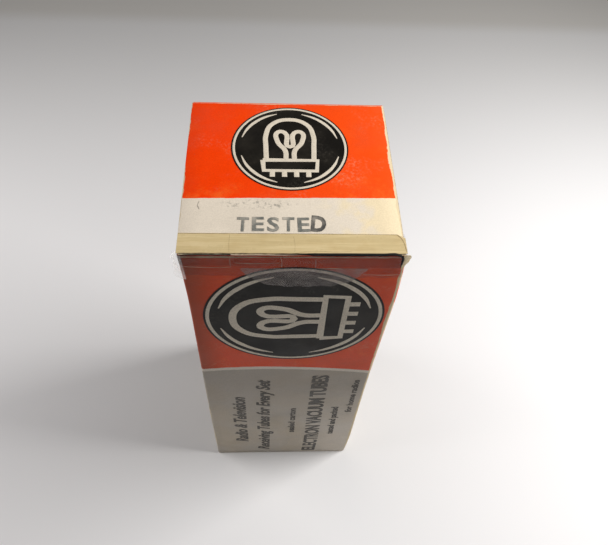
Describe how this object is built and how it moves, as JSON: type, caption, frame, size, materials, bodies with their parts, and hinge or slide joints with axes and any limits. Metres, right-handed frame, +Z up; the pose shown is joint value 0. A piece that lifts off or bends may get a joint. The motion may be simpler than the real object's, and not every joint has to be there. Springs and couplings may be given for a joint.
{
  "type": "boxed vacuum tube",
  "caption": "Tall tuck-end paperboard carton holding a glass rectifier tube with an octal base in a corrugated liner; the lids open and the tube lifts out.",
  "frame": {"origin": "middle of the carton's underside, on the surface it stands on", "axes": "+Z up along the tube and the carton's height; -Y out of the front panel, where the lid tucks in; +Y towards the lid's hinge; +X to the right seen from the front"},
  "size_m": [0.0512, 0.0501, 0.1371],
  "materials": {
    "printed_paperboard": "satin",
    "aged_tape": "satin",
    "kraft_paper": "matte",
    "clear_glass": "gloss",
    "phenolic": "satin",
    "nickel": "satin",
    "carbonised_plate": "matte",
    "mica": "satin",
    "oxide_coat": "matte",
    "base_cement": "matte"
  },
  "bodies": {
    "carton": {"carton_sleeve": "printed_paperboard", "tape_on_front": "aged_tape", "liner_facing": "kraft_paper", "liner_fluting": "kraft_paper"},
    "top_lid": {"top_lid": "printed_paperboard", "tape_on_lid": "aged_tape"},
    "top_tuck_flap": {"top_tuck_flap": "printed_paperboard"},
    "top_dust_flap_left": {"top_dust_flap_left": "printed_paperboard"},
    "top_dust_flap_right": {"top_dust_flap_right": "printed_paperboard"},
    "bottom_lid": {"bottom_lid": "printed_paperboard"},
    "bottom_tuck_flap": {"bottom_tuck_flap": "printed_paperboard"},
    "bottom_dust_flap_left": {"bottom_dust_flap_left": "printed_paperboard"},
    "bottom_dust_flap_right": {"bottom_dust_flap_right": "printed_paperboard"},
    "tube": {"octal_base": "phenolic", "glass_bulb": "clear_glass", "glass_stem": "clear_glass", "exhaust_tube": "clear_glass", "base_cement": "base_cement", "lower_mica": "mica", "upper_mica": "mica", "plate_a": "carbonised_plate", "plate_b": "carbonised_plate", "filament_a": "oxide_coat", "filament_b": "oxide_coat", "filament_strap": "nickel", "getter_ring": "nickel", "getter_support": "nickel", "base_pin_1": "nickel", "base_pin_2": "nickel", "base_pin_4": "nickel", "base_pin_6": "nickel", "base_pin_8": "nickel", "plate_rod_a_front": "nickel", "plate_rod_a_rear": "nickel", "plate_rod_b_front": "nickel", "plate_rod_b_rear": "nickel", "filament_spring_a": "nickel", "filament_spring_b": "nickel", "lead_wire_2": "nickel", "lead_wire_4": "nickel", "lead_wire_6": "nickel", "lead_wire_8": "nickel"}
  },
  "joints": [
    {"name": "tube_lift", "type": "slide", "parent": "carton", "child": "tube", "axis": [0, 0, 1], "range_m": [0, 0.136]},
    {"name": "top_lid_hinge", "type": "hinge", "parent": "carton", "child": "top_lid", "pos_m": [0, 0.025, 0.137], "axis": [-1, 0, 0], "range_deg": [0, 240]},
    {"name": "top_tuck_hinge", "type": "hinge", "parent": "top_lid", "child": "top_tuck_flap", "pos_m": [0, -0.02415, 0.137], "axis": [-1, 0, 0], "range_deg": [0, 60]},
    {"name": "top_dust_left_hinge", "type": "hinge", "parent": "carton", "child": "top_dust_flap_left", "pos_m": [-0.0255, 0, 0.1363], "axis": [0, -1, 0], "range_deg": [0, 228]},
    {"name": "top_dust_right_hinge", "type": "hinge", "parent": "carton", "child": "top_dust_flap_right", "pos_m": [0.0255, 0, 0.1363], "axis": [0, 1, 0], "range_deg": [0, 228]},
    {"name": "bottom_lid_hinge", "type": "hinge", "parent": "carton", "child": "bottom_lid", "pos_m": [0, -0.025, 0], "axis": [-1, 0, 0], "range_deg": [0, 200]},
    {"name": "bottom_tuck_hinge", "type": "hinge", "parent": "bottom_lid", "child": "bottom_tuck_flap", "pos_m": [0, 0.02415, 0], "axis": [-1, 0, 0], "range_deg": [0, 60]},
    {"name": "bottom_dust_left_hinge", "type": "hinge", "parent": "carton", "child": "bottom_dust_flap_left", "pos_m": [-0.0255, 0, 0.0007], "axis": [0, 1, 0], "range_deg": [0, 190]},
    {"name": "bottom_dust_right_hinge", "type": "hinge", "parent": "carton", "child": "bottom_dust_flap_right", "pos_m": [0.0255, 0, 0.0007], "axis": [0, -1, 0], "range_deg": [0, 190]}
  ],
  "couplings": [
    {"joint": "top_lid_hinge", "follows": "tube_lift", "rad_per_m": 30.799},
    {"joint": "top_tuck_hinge", "follows": "tube_lift", "rad_per_m": 7.699},
    {"joint": "top_dust_left_hinge", "follows": "tube_lift", "rad_per_m": 29.259},
    {"joint": "top_dust_right_hinge", "follows": "tube_lift", "rad_per_m": 29.259},
    {"joint": "bottom_tuck_hinge", "follows": "bottom_lid_hinge", "ratio": 0.3},
    {"joint": "bottom_dust_left_hinge", "follows": "bottom_lid_hinge", "ratio": 0.95},
    {"joint": "bottom_dust_right_hinge", "follows": "bottom_lid_hinge", "ratio": 0.95}
  ]
}
